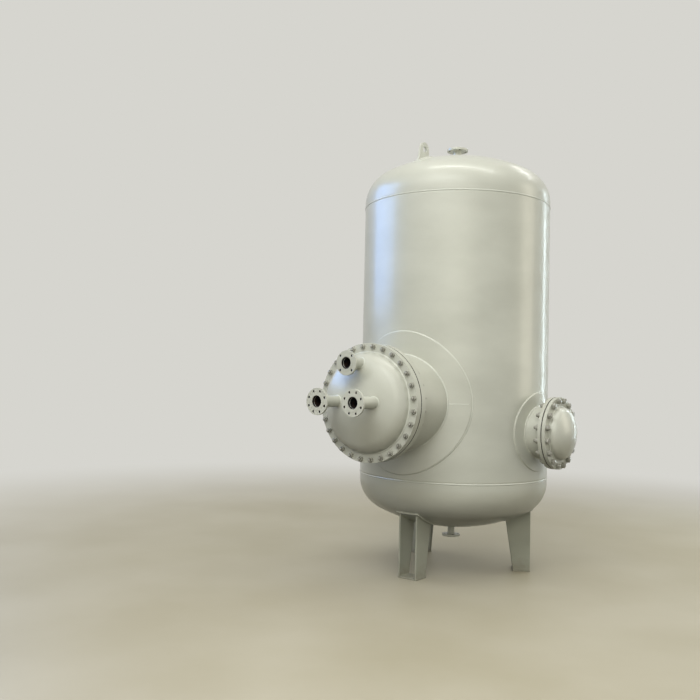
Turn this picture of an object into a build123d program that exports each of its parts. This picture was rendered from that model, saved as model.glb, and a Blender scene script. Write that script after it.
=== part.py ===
from build123d import *
from math import asin, atan2, degrees, sin, sqrt
import os

# Floating coil heat exchanger: an upright cylindrical water vessel with two ellipsoidal heads, on three
# welded legs. A wide channel with a bolted, dished cover stands out of its front and carries the three
# nozzles of the heating coil. A bolted manhole stands out of its side. One nozzle is at the crown, one
# at the bottom, and two lifting lugs are on the upper head. The coil itself is inside and isn't modelled.
#
# Millimetres, +Z up, origin on the floor under the vessel's axis. The channel points along -Y and the
# manhole along +X.

# Vessel shell and heads
shell_bore = 1600.0
shell_wall = 10.0
shell_length = 2320.0
lower_seam_height = 805.0
head_wall = 10.0
head_skirt = 40.0

# Every dished end is a 2:1 ellipse drawn as its usual two arcs, sized from its inside diameter
crown_share = 0.90
knuckle_share = 0.17

# A raised face stands out of each flange inside its bolt holes
raised_face_height = 2.0
raised_face_margin = 6.0       # raised face to the bolt holes

# Channel: the wide side neck, its reinforcing pad and its pair of body flanges
channel_height = 1430.0
channel_bore = 750.0
channel_wall = 12.0
channel_reach = 1196.0         # vessel axis to the joint face of the rear body flange
channel_flange_width = 68.0    # how far the body flanges stand out from the neck, all round
channel_flange_thickness = 54.0
channel_bolt_count = 28
channel_bolt_hole = 23.0
channel_bolt_margin = 25.0     # bolt circle to the flanges' rim
channel_pad_width = 186.0
channel_pad_thickness = 12.0
gasket_thickness = 4.0
gasket_inset = 4.0             # outside of a neck to its gasket's inner edge
body_flange_setback = 6.0      # a neck or cover stops this short of its flange's joint face

# The dished cover on the channel and its three coil nozzles, reaches from the vessel's axis to their faces
cover_wall = 12.0
cover_skirt = 25.0             # straight part of a bolted cover, inside its flange
side_nozzle_offset = 168.0
side_nozzle_rise = 8.0
side_nozzle_reach = 1648.0
upper_nozzle_offset = 295.0
upper_nozzle_reach = 1523.0
coil_pipe_diameter = 88.9
coil_pipe_wall = 4.0
side_flange_diameter = 200.0
side_flange_pitch = 160.0
side_flange_holes = 8
upper_flange_diameter = 185.0
upper_flange_pitch = 150.0
upper_flange_holes = 4
coil_flange_thickness = 20.0
nozzle_bolt_hole = 18.0
nozzle_setback = 5.0           # a nozzle's pipe stops this short of its flange's face

# Manhole
manhole_height = 1210.0
manhole_bore = 402.0
manhole_wall = 12.0
manhole_reach = 965.0
manhole_flange_width = 77.0
manhole_flange_thickness = 30.0
manhole_bolt_count = 16
manhole_bolt_hole = 30.0
manhole_bolt_margin = 27.5
manhole_gasket_thickness = 3.0
manhole_pad_width = 107.0
manhole_pad_thickness = 10.0
manhole_cover_wall = 10.0

# Crown nozzle and drain nozzle
crown_pipe_diameter = 76.0
crown_pipe_wall = 4.0
crown_flange_diameter = 185.0
crown_flange_pitch = 145.0
crown_stand_out = 105.0        # top of the upper head to the nozzle's face
drain_pipe_diameter = 60.0
drain_pipe_wall = 4.0
drain_flange_diameter = 155.0
drain_flange_pitch = 120.0
drain_stand_out = 100.0
end_nozzle_holes = 4
end_flange_thickness = 20.0

# Lifting lugs, in line with the channel
lug_radius = 541.0             # vessel axis to the eye
lug_thickness = 20.0
lug_top_radius = 60.0
lug_eye_diameter = 55.0
lug_eye_height = 77.0          # eye above the head's surface under it
lug_heel = 60.0                # foot of the plate, from the eye towards the vessel's axis
lug_toe = 88.0                 # foot of the plate, from the eye outwards
lug_foot_upright = 54.0        # upright ends of the plate at its foot, mostly cut away by the head
lug_pad_thickness = 8.0
lug_pad_margin = 14.0
lug_pad_width = 74.0

# Legs
leg_count = 3
leg_outer_radius = 673.0       # vessel axis to the upright outer edge of a leg's ribs
leg_foot_depth = 140.0         # ribs along the radius, at the base plate
leg_top_depth = 205.0          # ribs along the radius, at the head
leg_spread = 174.0             # outside to outside of a leg's two ribs
rib_thickness = 14.0
base_thickness = 12.0
base_margin = 3.0
anchor_hole = 24.0
leg_pad_thickness = 10.0
leg_pad_margin = 24.0
leg_pad_corner = 20.0

# Worked out from the sizes above
shell_inner = shell_bore / 2
shell_outer = shell_inner + shell_wall
upper_seam_height = lower_seam_height + shell_length
channel_outer = channel_bore / 2 + channel_wall
channel_rim = channel_outer + channel_flange_width
channel_bolt_circle = channel_rim - channel_bolt_margin
channel_joint = channel_reach + gasket_thickness
manhole_outer = manhole_bore / 2 + manhole_wall
manhole_rim = manhole_outer + manhole_flange_width
manhole_bolt_circle = manhole_rim - manhole_bolt_margin
manhole_joint = manhole_reach + manhole_gasket_thickness
leg_middle_radius = leg_outer_radius - leg_foot_depth / 2

# Frames: local +Z runs out of the vessel along each neck and local +Y stays up
channel_frame = Pos(0, 0, channel_height) * Rot(90, 0, 0)
manhole_frame = Pos(0, 0, manhole_height) * Rot(0, 0, 90) * Rot(90, 0, 0)
upper_head_frame = Pos(0, 0, upper_seam_height)
lower_head_frame = Pos(0, 0, lower_seam_height) * Rot(180, 0, 0)

parts = {}


def rod(radius, bottom, top):
    """A round bar along local Z between two heights."""
    return Pos(0, 0, bottom) * Cylinder(radius, top - bottom, align=(Align.CENTER, Align.CENTER, Align.MIN))


def tube(outer, inner, bottom, top):
    """A round tube along local Z between two heights."""
    return rod(outer, bottom, top) - rod(inner, bottom, top)


def dome_arcs(radius):
    """Crown radius, knuckle radius and the crown centre's drop below the skirt's end, all of the inside."""
    crown = 2 * radius * crown_share
    knuckle = 2 * radius * knuckle_share
    return crown, knuckle, sqrt((crown - knuckle) ** 2 - (radius - knuckle) ** 2)


def dome_height(radius, wall, skirt, distance=0):
    """Height of a dished end's outside at a distance from its axis, within its crown."""
    crown, knuckle, drop = dome_arcs(radius)
    return skirt - drop + sqrt((crown + wall) ** 2 - distance**2)


def dome(radius, skirt, grow=0):
    """The solid inside a dished end on a round skirt from local Z = 0, grown by an even amount."""
    crown, knuckle, drop = dome_arcs(radius)
    slope = degrees(atan2(drop, radius - knuckle))
    with BuildPart() as solid:
        with BuildSketch(Plane.XZ):
            with BuildLine():
                Polyline(
                    (0, skirt - drop + crown + grow), (0, 0), (radius + grow, 0), (radius + grow, skirt)
                )
                CenterArc((radius - knuckle, skirt), knuckle + grow, 0, slope)
                CenterArc((0, skirt - drop), crown + grow, slope, 90 - slope)
            make_face()
        revolve(axis=Axis.Z)
    return solid.part


def dished_end(radius, wall, skirt):
    """A dished end of even wall about an inside radius, open at local Z = 0."""
    return dome(radius, skirt, wall) - dome(radius, skirt)


def drilled_ring(rim, bore, thickness, pitch_radius, count, hole):
    """A flat flange from its back at local Z = 0 to its raised face, its holes straddling the centre lines."""
    plate = thickness - raised_face_height
    face = pitch_radius - hole / 2 - raised_face_margin
    ring = tube(rim, bore, 0, plate) + tube(face, bore, plate, thickness)
    holes = PolarLocations(pitch_radius, count, start_angle=180 / count)
    return ring - [place * rod(hole / 2, 0, plate) for place in holes]


def nozzle(pipe_diameter, pipe_wall, start, face, rim_diameter, pitch_diameter, count, thickness):
    """A pipe from local Z = start and the flange slipped over its end, as two solids."""
    radius = pipe_diameter / 2
    pipe = tube(radius, radius - pipe_wall, start, face - nozzle_setback)
    ring = drilled_ring(rim_diameter / 2, radius, thickness, pitch_diameter / 2, count, nozzle_bolt_hole)
    return pipe, Pos(0, 0, face - thickness) * ring


# Vessel shell and its two heads
vessel_inside = rod(shell_inner, lower_seam_height, upper_seam_height)
channel_opening = channel_frame * rod(channel_outer, 0, channel_reach)
manhole_opening = manhole_frame * rod(manhole_outer, 0, manhole_reach)
shell = rod(shell_outer, lower_seam_height, upper_seam_height) - vessel_inside
parts["shell"] = shell - channel_opening - manhole_opening

head = dished_end(shell_inner, head_wall, head_skirt)
head_inside = dome(shell_inner, head_skirt)
head_top = dome_height(shell_inner, head_wall, head_skirt)
parts["top_head"] = upper_head_frame * (head - rod(crown_pipe_diameter / 2, 0, head_top))
parts["bottom_head"] = lower_head_frame * (head - rod(drain_pipe_diameter / 2, 0, head_top))

# Crown nozzle and drain nozzle, set through the heads on the vessel's axis
pipe, flange = nozzle(
    crown_pipe_diameter, crown_pipe_wall, head_skirt, head_top + crown_stand_out,
    crown_flange_diameter, crown_flange_pitch, end_nozzle_holes, end_flange_thickness,
)
parts["crown_nozzle_pipe"] = upper_head_frame * (pipe - head_inside)
parts["crown_nozzle_flange"] = upper_head_frame * flange

pipe, flange = nozzle(
    drain_pipe_diameter, drain_pipe_wall, head_skirt, head_top + drain_stand_out,
    drain_flange_diameter, drain_flange_pitch, end_nozzle_holes, end_flange_thickness,
)
parts["drain_nozzle_pipe"] = lower_head_frame * (pipe - head_inside)
parts["drain_nozzle_flange"] = lower_head_frame * flange


def head_outside(grow=0):
    """The solid inside the outer surface of a vessel head, grown by an even amount."""
    return dome(shell_inner, head_skirt, head_wall + grow)


def skin_on_head(thickness, footprint):
    """A plate bent over the outside of a head, cut to an upright footprint."""
    skin = head_outside(thickness) - head_outside()
    return skin & footprint


def lifting_lug():
    """One lug and its pad on the upper head, in the head's frame, on the -Y side."""
    eye_height = dome_height(shell_inner, head_wall, head_skirt, lug_radius) + lug_eye_height
    foot_height = eye_height - 2 * lug_eye_height
    with BuildPart() as plate:
        # The plate lies in the plane of the vessel's axis: local X of this sketch runs inwards
        with BuildSketch(Plane.YZ):
            with Locations((-lug_radius, eye_height)):
                Circle(lug_top_radius)
            with Locations((-lug_radius - lug_toe, foot_height)):
                Rectangle(lug_toe + lug_heel, lug_foot_upright, align=(Align.MIN, Align.MIN))
            make_hull()
            with Locations((-lug_radius, eye_height)):
                Circle(lug_eye_diameter / 2, mode=Mode.SUBTRACT)
        extrude(amount=lug_thickness / 2, both=True)
    pad_length = lug_toe + lug_heel + 2 * lug_pad_margin
    footprint = Pos(0, -lug_radius - (lug_toe - lug_heel) / 2, eye_height) * Box(
        lug_pad_width, pad_length, 2 * eye_height
    )
    return plate.part - head_outside(lug_pad_thickness), skin_on_head(lug_pad_thickness, footprint)


lug, lug_pad = lifting_lug()
for side, turn in (("front", 0), ("rear", 180)):
    parts[f"lifting_lug_{side}"] = upper_head_frame * Rot(0, 0, turn) * lug
    parts[f"lifting_lug_pad_{side}"] = upper_head_frame * Rot(0, 0, turn) * lug_pad


def leg():
    """One leg under the -Y side: two ribs, their base plate and their pad on the lower head."""
    pad_surface = lower_head_frame * head_outside(leg_pad_thickness)
    top = lower_seam_height - head_skirt
    # Across the leg the ribs' inner edge leans in towards the vessel's axis as it rises
    foot_inner = leg_outer_radius - leg_foot_depth
    top_inner = leg_outer_radius - leg_top_depth
    head_clearance = lower_seam_height - dome_height(shell_inner, head_wall, head_skirt, top_inner)
    lean = (foot_inner - top_inner) / (head_clearance - base_thickness)
    with BuildPart() as rib:
        with BuildSketch(Plane.YZ):
            with BuildLine():
                Polyline(
                    (-leg_outer_radius, base_thickness),
                    (-foot_inner, base_thickness),
                    (-foot_inner + lean * (top - base_thickness), top),
                    (-leg_outer_radius, top),
                    close=True,
                )
            make_face()
        extrude(amount=rib_thickness)
    left = Pos(-leg_spread / 2, 0, 0) * rib.part - pad_surface
    right = Pos(leg_spread / 2 - rib_thickness, 0, 0) * rib.part - pad_surface

    with BuildPart() as base:
        with BuildSketch():
            with Locations((0, -leg_middle_radius)):
                Rectangle(leg_spread + 2 * base_margin, leg_foot_depth + 2 * base_margin)
                Circle(anchor_hole / 2, mode=Mode.SUBTRACT)
        extrude(amount=base_thickness)

    pad_middle = leg_outer_radius - leg_top_depth / 2
    with BuildPart() as footprint:
        with BuildSketch():
            with Locations((0, -pad_middle)):
                RectangleRounded(
                    leg_spread + 2 * leg_pad_margin, leg_top_depth + 2 * leg_pad_margin, leg_pad_corner
                )
        extrude(amount=lower_seam_height)
    in_head_frame = lower_head_frame.inverse() * footprint.part
    pad = lower_head_frame * skin_on_head(leg_pad_thickness, in_head_frame)
    return {"rib_left": left, "rib_right": right, "base_plate": base.part, "head_pad": pad}


leg_pieces = leg()
for number in range(leg_count):
    turn = Rot(0, 0, number * 360 / leg_count)
    for name, piece in leg_pieces.items():
        parts[f"leg_{number + 1}_{name}"] = turn * piece


def saddle_pad(frame, bore, width, thickness):
    """A reinforcing pad cut flat as an even ring and then rolled to the shell, about a neck's outside."""
    across = shell_outer * sin(asin(bore / shell_outer) + width / shell_outer)
    rolled = tube(shell_outer + thickness, shell_outer, lower_seam_height, upper_seam_height)
    outline = extrude(Ellipse(across, bore + width) - Circle(bore), shell_outer + 2 * thickness)
    return rolled & (frame * outline)


def neck_and_gasket(outer, wall, reach, gasket, bolt_circle, hole):
    """A neck from the vessel's axis, ahead of its trimming, and the gasket before its flange's face."""
    neck = tube(outer, outer - wall, 0, reach - body_flange_setback)
    gasket_outer = bolt_circle - hole / 2 - raised_face_margin
    return neck, tube(gasket_outer, outer + gasket_inset, reach, reach + gasket)


# Channel neck, its pad in two halves that meet level with its axis, and the two body flanges
neck, gasket = neck_and_gasket(
    channel_outer, channel_wall, channel_reach, gasket_thickness, channel_bolt_circle, channel_bolt_hole
)
parts["channel_neck"] = channel_frame * neck - vessel_inside
parts["channel_gasket"] = channel_frame * gasket
channel_pad = saddle_pad(channel_frame, channel_outer, channel_pad_width, channel_pad_thickness)
pad_above = Pos(0, 0, channel_height) * Box(
    4 * shell_outer, 4 * shell_outer, 2 * shell_outer, align=(Align.CENTER, Align.CENTER, Align.MIN)
)
parts["channel_pad_upper"] = channel_pad & pad_above
parts["channel_pad_lower"] = channel_pad - pad_above

flange = drilled_ring(
    channel_rim, channel_outer, channel_flange_thickness, channel_bolt_circle,
    channel_bolt_count, channel_bolt_hole,
)
parts["channel_flange"] = channel_frame * Pos(0, 0, channel_reach - channel_flange_thickness) * flange
cover_flange_place = Pos(0, 0, channel_joint + channel_flange_thickness) * Rot(180, 0, 0)
parts["cover_flange"] = channel_frame * cover_flange_place * flange

# Dished cover with the three coil nozzles, which leave it side by side and parallel to its axis
cover_start = channel_joint + body_flange_setback
cover_frame = channel_frame * Pos(0, 0, cover_start)
cover_inner = channel_outer - cover_wall
cover = dished_end(cover_inner, cover_wall, cover_skirt)
cover_inside = dome(cover_inner, cover_skirt)
cover_top = dome_height(cover_inner, cover_wall, cover_skirt)
side_flange = (side_flange_diameter, side_flange_pitch, side_flange_holes)
upper_flange = (upper_flange_diameter, upper_flange_pitch, upper_flange_holes)
coil_nozzles = {
    "left": (-side_nozzle_offset, side_nozzle_rise, side_nozzle_reach, *side_flange),
    "right": (side_nozzle_offset, side_nozzle_rise, side_nozzle_reach, *side_flange),
    "upper": (0, upper_nozzle_offset, upper_nozzle_reach, *upper_flange),
}
for name, (across, up, reach, rim, pitch, count) in coil_nozzles.items():
    pipe, flange = nozzle(
        coil_pipe_diameter, coil_pipe_wall, 0, reach - cover_start, rim, pitch, count, coil_flange_thickness
    )
    place = Pos(across, up, 0)
    cover -= place * rod(coil_pipe_diameter / 2, 0, cover_top)
    parts[f"{name}_coil_pipe"] = cover_frame * (place * pipe - cover_inside)
    parts[f"{name}_coil_flange"] = cover_frame * place * flange
parts["channel_cover"] = cover_frame * cover

# Manhole neck, pad, flanges, gasket and dished cover
neck, gasket = neck_and_gasket(
    manhole_outer, manhole_wall, manhole_reach, manhole_gasket_thickness, manhole_bolt_circle,
    manhole_bolt_hole,
)
parts["manhole_neck"] = manhole_frame * neck - vessel_inside
parts["manhole_gasket"] = manhole_frame * gasket
parts["manhole_pad"] = saddle_pad(manhole_frame, manhole_outer, manhole_pad_width, manhole_pad_thickness)
flange = drilled_ring(
    manhole_rim, manhole_outer, manhole_flange_thickness, manhole_bolt_circle,
    manhole_bolt_count, manhole_bolt_hole,
)
parts["manhole_flange"] = manhole_frame * Pos(0, 0, manhole_reach - manhole_flange_thickness) * flange
cover_flange_place = Pos(0, 0, manhole_joint + manhole_flange_thickness) * Rot(180, 0, 0)
parts["manhole_cover_flange"] = manhole_frame * cover_flange_place * flange
parts["manhole_cover"] = manhole_frame * Pos(0, 0, manhole_joint + body_flange_setback) * dished_end(
    manhole_outer - manhole_cover_wall, manhole_cover_wall, cover_skirt
)

os.makedirs("parts", exist_ok=True)
for name, piece in parts.items():
    export_step(piece, f"parts/{name}.step")
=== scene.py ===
from collections import namedtuple
from math import asin, cos, pi, radians, sin, sqrt

import bmesh
import bpy
import numpy as np
from mathutils import Matrix, Quaternion, Vector


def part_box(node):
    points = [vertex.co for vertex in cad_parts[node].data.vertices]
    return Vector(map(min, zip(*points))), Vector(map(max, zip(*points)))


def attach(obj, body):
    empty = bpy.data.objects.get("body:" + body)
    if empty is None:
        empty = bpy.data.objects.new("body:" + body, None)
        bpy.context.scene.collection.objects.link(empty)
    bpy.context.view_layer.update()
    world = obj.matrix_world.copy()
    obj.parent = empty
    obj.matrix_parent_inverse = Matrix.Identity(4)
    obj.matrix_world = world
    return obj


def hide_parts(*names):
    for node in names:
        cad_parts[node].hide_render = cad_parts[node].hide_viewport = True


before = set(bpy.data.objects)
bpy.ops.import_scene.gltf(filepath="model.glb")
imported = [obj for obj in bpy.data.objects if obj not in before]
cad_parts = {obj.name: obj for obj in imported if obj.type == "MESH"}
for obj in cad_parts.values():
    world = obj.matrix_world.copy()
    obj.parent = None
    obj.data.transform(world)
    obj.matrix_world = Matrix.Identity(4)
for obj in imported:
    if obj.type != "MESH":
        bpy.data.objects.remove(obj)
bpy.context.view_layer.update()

# Floating coil heat exchanger: an upright vessel on three welded legs, sprayed in one silver-grey enamel.
# Metres, +Z up, origin on the floor under the vessel's axis. The channel with its dished cover and three
# coil nozzles points along -Y, the manhole along +X.

X, Y, Z = 0, 1, 2

# Sizes that the frame doesn't give
head_skirt = 0.040
cover_skirt = 0.025             # straight part of both bolted covers, inside their flange
crown_share = 0.90              # crown and knuckle radius of a dished end, as shares of its inside diameter
knuckle_share = 0.17
pad_thickness = {"channel": 0.012, "manhole": 0.010}
leg_pad_thickness = 0.010
leg_pad_corner = 0.020
lug_pad_thickness = 0.008
anchor_hole = 0.024
nozzle_bolt_hole = 0.018
raised_face_height = 0.002
raised_face_margin = 0.006      # raised face to the bolt holes
edge_break = 0.0015             # flame-cut and turned edges, rounded by grinding and paint
raised_face_break = 0.0006
gasket_break = 0.0004
lug_corner = 0.002
base_corner = 0.003

# Bolting, by its nominal sizes; a stud's ends stand out of its nuts further behind a joint than ahead of it
Bolting = namedtuple("Bolting", "count hole stud nut_flats nut_height spare_back spare_front")
channel_bolting = Bolting(28, 0.023, 0.020, 0.034, 0.019, 0.017, 0.012)
manhole_bolting = Bolting(16, 0.030, 0.027, 0.042, 0.023, 0.017, 0.004)
thread_pitch = 0.0035
thread_depth, stud_chamfer = 0.25, 0.6          # as shares of the pitch
nut_face, nut_slope = 0.475, 0.58               # a nut's end: radius over flats, and slope of its cone
stud_slip = 0.0025              # how far a stud may be screwed to either side of its place

# Welds: visible width and height of a bead on a seam, and leg of a bead in a corner
seam_bead_width = 0.014
seam_bead_height = 0.0036
butt_bead_width = 0.010
butt_bead_height = 0.0012
corner_bead_width, corner_bead_height = 1.35, 0.55      # as shares of its leg
width_waver, height_waver = 0.05, 0.07                  # of a hand-laid bead, as shares of its size
pad_leg = {"channel": 0.011, "manhole": 0.006}
neck_leg = 0.013
flange_leg = 0.010
pipe_leg = 0.008
foot_leg = 0.007
weld_step = 0.009               # one section of a bead to the next
fine_weld_step = 0.006          # the same round a nozzle
upright_seam_bearing = radians(128)

# Fineness of the meshes, as steps round a full turn
shell_steps = 288
shell_rows = 112                # up the shell
cover_steps = 240
neck_steps = 192
ring_steps = 160
pipe_steps = 72
nut_steps = 24
stud_steps = 14
bead_sides = 8
hair = 1e-4                     # vertices this near to a node's end belong to the end

random = np.random.default_rng(28)


# Frames of the necks and heads

Place = namedtuple("Place", "origin axes")


def place_at(origin, across, up, out):
    """A frame: its origin, and rows with its unit vectors across, up and out."""
    return Place(np.array(origin, float), np.array([across, up, out], float))


def shifted(place, across, up, out=0.0):
    """The same frame with its origin moved along its own axes."""
    return Place(place.origin + np.array([across, up, out]) @ place.axes, place.axes)


def to_world(points, place):
    """origin + across * x + up * y + out * z, for rows of x, y, z."""
    return points @ place.axes + place.origin


def to_place(points, place):
    """Rows of x, y, z as seen from a frame."""
    return (points - place.origin) @ place.axes.T


def corners(node):
    """All vertices of a CAD node as rows of x, y, z."""
    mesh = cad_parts[node].data
    flat = np.empty(len(mesh.vertices) * 3, np.float32)
    mesh.vertices.foreach_get("co", flat)
    return flat.astype(float).reshape(-1, 3)


def radii(node, place):
    """Inner and outer radius of a turned CAD node about a frame's axis."""
    across, up, _ = to_place(corners(node), place).T
    distance = np.hypot(across, up)
    return distance.min(), distance.max()


def along(node, place):
    """Lowest and highest reach of a CAD node along a frame's axis."""
    out = to_place(corners(node), place)[:, 2]
    return out.min(), out.max()


def middle(node, axis):
    """Halfway between a CAD node's two ends along one axis."""
    low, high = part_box(node)
    return (low[axis] + high[axis]) / 2


lower_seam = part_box("shell")[0][Z]
upper_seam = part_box("shell")[1][Z]
ground = place_at((0, 0, 0), (1, 0, 0), (0, 1, 0), (0, 0, 1))
upper_place = place_at((0, 0, upper_seam), (1, 0, 0), (0, 1, 0), (0, 0, 1))
lower_place = place_at((0, 0, lower_seam), (1, 0, 0), (0, -1, 0), (0, 0, -1))
channel_place = place_at((0, 0, middle("channel_neck", Z)), (1, 0, 0), (0, 0, 1), (0, -1, 0))
manhole_place = place_at((0, 0, middle("manhole_neck", Z)), (0, 1, 0), (0, 0, 1), (1, 0, 0))

shell_inner, shell_outer = radii("shell", upper_place)
head_wall = shell_outer - shell_inner


# Grids and solids. A solid is a pair: rows of x, y, z, and faces of four point numbers.

def full_turn(steps):
    """Angles spread evenly round a full turn."""
    return np.linspace(0, 2 * pi, steps, endpoint=False)


def unit_rows(rows):
    """Each row scaled to a length of 1."""
    return rows / np.linalg.norm(rows, axis=1, keepdims=True)


def as_rows(*coordinates):
    """Rows of points from one array or number for each coordinate."""
    return np.stack(np.broadcast_arrays(*coordinates), -1).reshape(-1, len(coordinates))


def grid_faces(rows, columns, wrap_rows=False, wrap_columns=True):
    """Faces between neighbouring rows and columns of a grid whose points are numbered row by row."""
    row = np.arange(rows if wrap_rows else rows - 1)[:, None]
    column = np.arange(columns if wrap_columns else columns - 1)[None, :]
    next_row, next_column = (row + 1) % rows, (column + 1) % columns
    return as_rows(
        row * columns + column, row * columns + next_column,
        next_row * columns + next_column, next_row * columns + column,
    )


def grid_solid(grid, wrap_rows=True):
    """A grid of points, closed round its columns and, unless told otherwise, its rows."""
    rows, columns = grid.shape[:2]
    return grid.reshape(-1, 3), grid_faces(rows, columns, wrap_rows)


def joined(*solids):
    """Several solids as one."""
    starts = np.cumsum([0] + [len(points) for points, _ in solids[:-1]])
    points = np.concatenate([points for points, _ in solids])
    return points, np.concatenate([faces + start for (_, faces), start in zip(solids, starts)])


def shared_points(points, faces):
    """The same surface with points that coincide numbered once, and where each was first."""
    _, first, number = np.unique(np.round(points, 6), axis=0, return_index=True, return_inverse=True)
    return points[first], number.reshape(-1)[faces], first


def walled(front, back, faces):
    """A closed solid between two surfaces that share one set of faces: the front, the back turned over, and
    a wall along each edge that only one face uses."""
    count = len(front)
    edges = np.stack([faces, np.roll(faces, -1, axis=1)], -1).reshape(-1, 2)
    edges = edges[edges[:, 0] != edges[:, 1]]
    keys = np.sort(edges, axis=1) @ np.array([count, 1])
    _, first, uses = np.unique(keys, return_index=True, return_counts=True)
    start, end = edges[first[uses == 1]].T
    walls = as_rows(end, start, start + count, end + count)
    return np.concatenate([front, back]), np.concatenate([faces, faces[:, ::-1] + count, walls])


def plate(plan, faces, front, back):
    """A flat plate over a plan, between two heights."""
    return walled(as_rows(*plan.T, front), as_rows(*plan.T, back), faces)


def rings(inner, outer, shares):
    """A plan in rings from an inner outline to an outer one: (1 - s) * inner + s * outer."""
    s = np.reshape(shares, (-1, 1, 1))
    plan = ((1 - s) * inner + s * outer).reshape(-1, 2)
    return shared_points(plan, grid_faces(len(shares), len(outer)))[:2]


def turned(profile, steps):
    """A profile of (distance, height) rows turned about a frame's axis: distance * cos(turn),
    distance * sin(turn), height."""
    turn = full_turn(steps)
    distance, height = profile[:, :1], profile[:, 1:]
    return np.stack(np.broadcast_arrays(distance * np.cos(turn), distance * np.sin(turn), height), -1)


def turned_ring(inner, outer, low, high, edge):
    """A ring turned from a rectangle whose edges are broken: each corner c is drawn as
    (1-t)^2 * a + 2t(1-t) * c + t^2 * b, where a and b lie one break before and after it."""
    corner = np.array([(inner, low), (outer, low), (outer, high), (inner, high)])
    ahead = edge * unit_rows(np.roll(corner, -1, axis=0) - corner)
    before, after = corner - np.roll(ahead, 1, axis=0), corner + ahead
    t = np.linspace(0, 1, 4)[:, None, None]
    curve = (1 - t) ** 2 * before + 2 * t * (1 - t) * corner + t**2 * after
    return grid_solid(turned(curve.transpose(1, 0, 2).reshape(-1, 2), ring_steps))


def placed(solid, place):
    """A solid moved from a frame's own coordinates to the world."""
    points, faces = solid
    return to_world(points, place), faces


# Surfaces over a neck's or head's plan: height as a function of the two plan coordinates

def rolled(radius):
    """The shell's outside, or a plate rolled on it: sqrt(radius^2 - across^2)."""
    return lambda across, up: np.sqrt(radius**2 - across**2)


def dished_arcs(radius):
    """Crown radius, knuckle radius and how far the crown's centre lies below the skirt's end, for the inside
    of a dished end."""
    crown = 2 * radius * crown_share
    knuckle = 2 * radius * knuckle_share
    return crown, knuckle, sqrt((crown - knuckle) ** 2 - (radius - knuckle) ** 2)


def dished(radius, skirt, grow=0.0):
    """A dished end's inside, or with growth its outside: the crown's sphere, then the knuckle's torus past
    the circle where they meet, both grown by the same amount."""
    crown, knuckle, drop = dished_arcs(radius)
    hub = radius - knuckle
    meeting = hub / (crown - knuckle) * (crown + grow)

    def height(across, up):
        distance = np.hypot(across, up)
        on_crown = skirt - drop + np.sqrt(np.maximum((crown + grow) ** 2 - distance**2, 0))
        on_knuckle = skirt + np.sqrt(np.maximum((knuckle + grow) ** 2 - (distance - hub) ** 2, 0))
        return np.where(distance < meeting, on_crown, on_knuckle)

    return height


def dished_profile(radius, skirt, start, grow):
    """(distance, height) rows from a distance off the axis over crown and knuckle and down the skirt to
    height 0. On each arc a point is the arc's centre + its radius * (sin a, cos a)."""
    crown_steps, knuckle_steps, skirt_steps = 34, 26, 3
    crown, knuckle, drop = dished_arcs(radius)
    hub = radius - knuckle
    meeting = asin(hub / (crown - knuckle))
    a = np.linspace(asin(start / (crown + grow)), meeting, crown_steps)
    on_crown = as_rows((crown + grow) * np.sin(a), skirt - drop + (crown + grow) * np.cos(a))
    a = np.linspace(meeting, pi / 2, knuckle_steps + 1)[1:]
    on_knuckle = as_rows(hub + (knuckle + grow) * np.sin(a), skirt + (knuckle + grow) * np.cos(a))
    on_skirt = as_rows(radius + grow, np.linspace(skirt, 0, skirt_steps + 1)[1:])
    return np.concatenate([on_crown, on_knuckle, on_skirt])


def dished_layers(radius, wall, skirt, start, steps):
    """A dished end's outer and inner surface as grids of distance by turn, and the faces of either."""
    profiles = [dished_profile(radius, skirt, start, grow) for grow in (wall, 0)]
    layers = [turned(profile, steps).reshape(-1, 3) for profile in profiles]
    return layers, grid_faces(len(profiles[0]), steps)


def head_outside(grow=0.0):
    """The outer surface of a vessel head, or a plate bent over it."""
    return dished(shell_inner, head_skirt, head_wall + grow)


def lie_on(plan, surface):
    """Points and unit normals of a surface over rows of plan x, y; the normal is (-dz/dx, -dz/dy, 1)."""
    x, y = plan.T
    step = 1e-5
    slope_x = (surface(x + step, y) - surface(x - step, y)) / (2 * step)
    slope_y = (surface(x, y + step) - surface(x, y - step)) / (2 * step)
    return as_rows(x, y, surface(x, y)), unit_rows(as_rows(-slope_x, -slope_y, 1))


def flat(height):
    """A flat face across a frame's axis."""
    return lambda across, up: np.full_like(across, height)


# Outlines in plan, each as its points and its outward directions

def oval(across, up, spacing=weld_step):
    """across * cos, up * sin round a full turn; outwards is (cos / across, sin / up)."""
    turn = full_turn(round(pi * (across + up) / spacing))
    outward = unit_rows(as_rows(np.cos(turn) / across, np.sin(turn) / up))
    return as_rows(across * np.cos(turn), up * np.sin(turn)), outward


def circle(radius, spacing=weld_step):
    """An oval as high as it is wide."""
    return oval(radius, radius, spacing)


def rounded_rectangle(width, depth, corner, spacing):
    """A rectangle round the origin: each corner's centre + corner radius * (cos, sin) over a quarter turn,
    with the straight sides divided evenly between them."""
    quarter = np.linspace(0, pi / 2, 7)
    points, outward = [], []
    for index, (sign_x, sign_y) in enumerate(((1, 1), (-1, 1), (-1, -1), (1, -1))):
        turn = quarter + index * pi / 2
        way = as_rows(np.cos(turn), np.sin(turn))
        centre = np.array([sign_x * (width / 2 - corner), sign_y * (depth / 2 - corner)])
        side = (depth if index % 2 else width) - 2 * corner
        share = np.linspace(0, 1, max(2, round(side / spacing)), endpoint=False)[1:, None]
        along_side = np.array([-sin(turn[-1]), cos(turn[-1])])
        points += [centre + corner * way, centre + corner * way[-1] + share * side * along_side]
        outward += [way, np.repeat(way[-1:], len(share), axis=0)]
    return np.concatenate(points), np.concatenate(outward)


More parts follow.
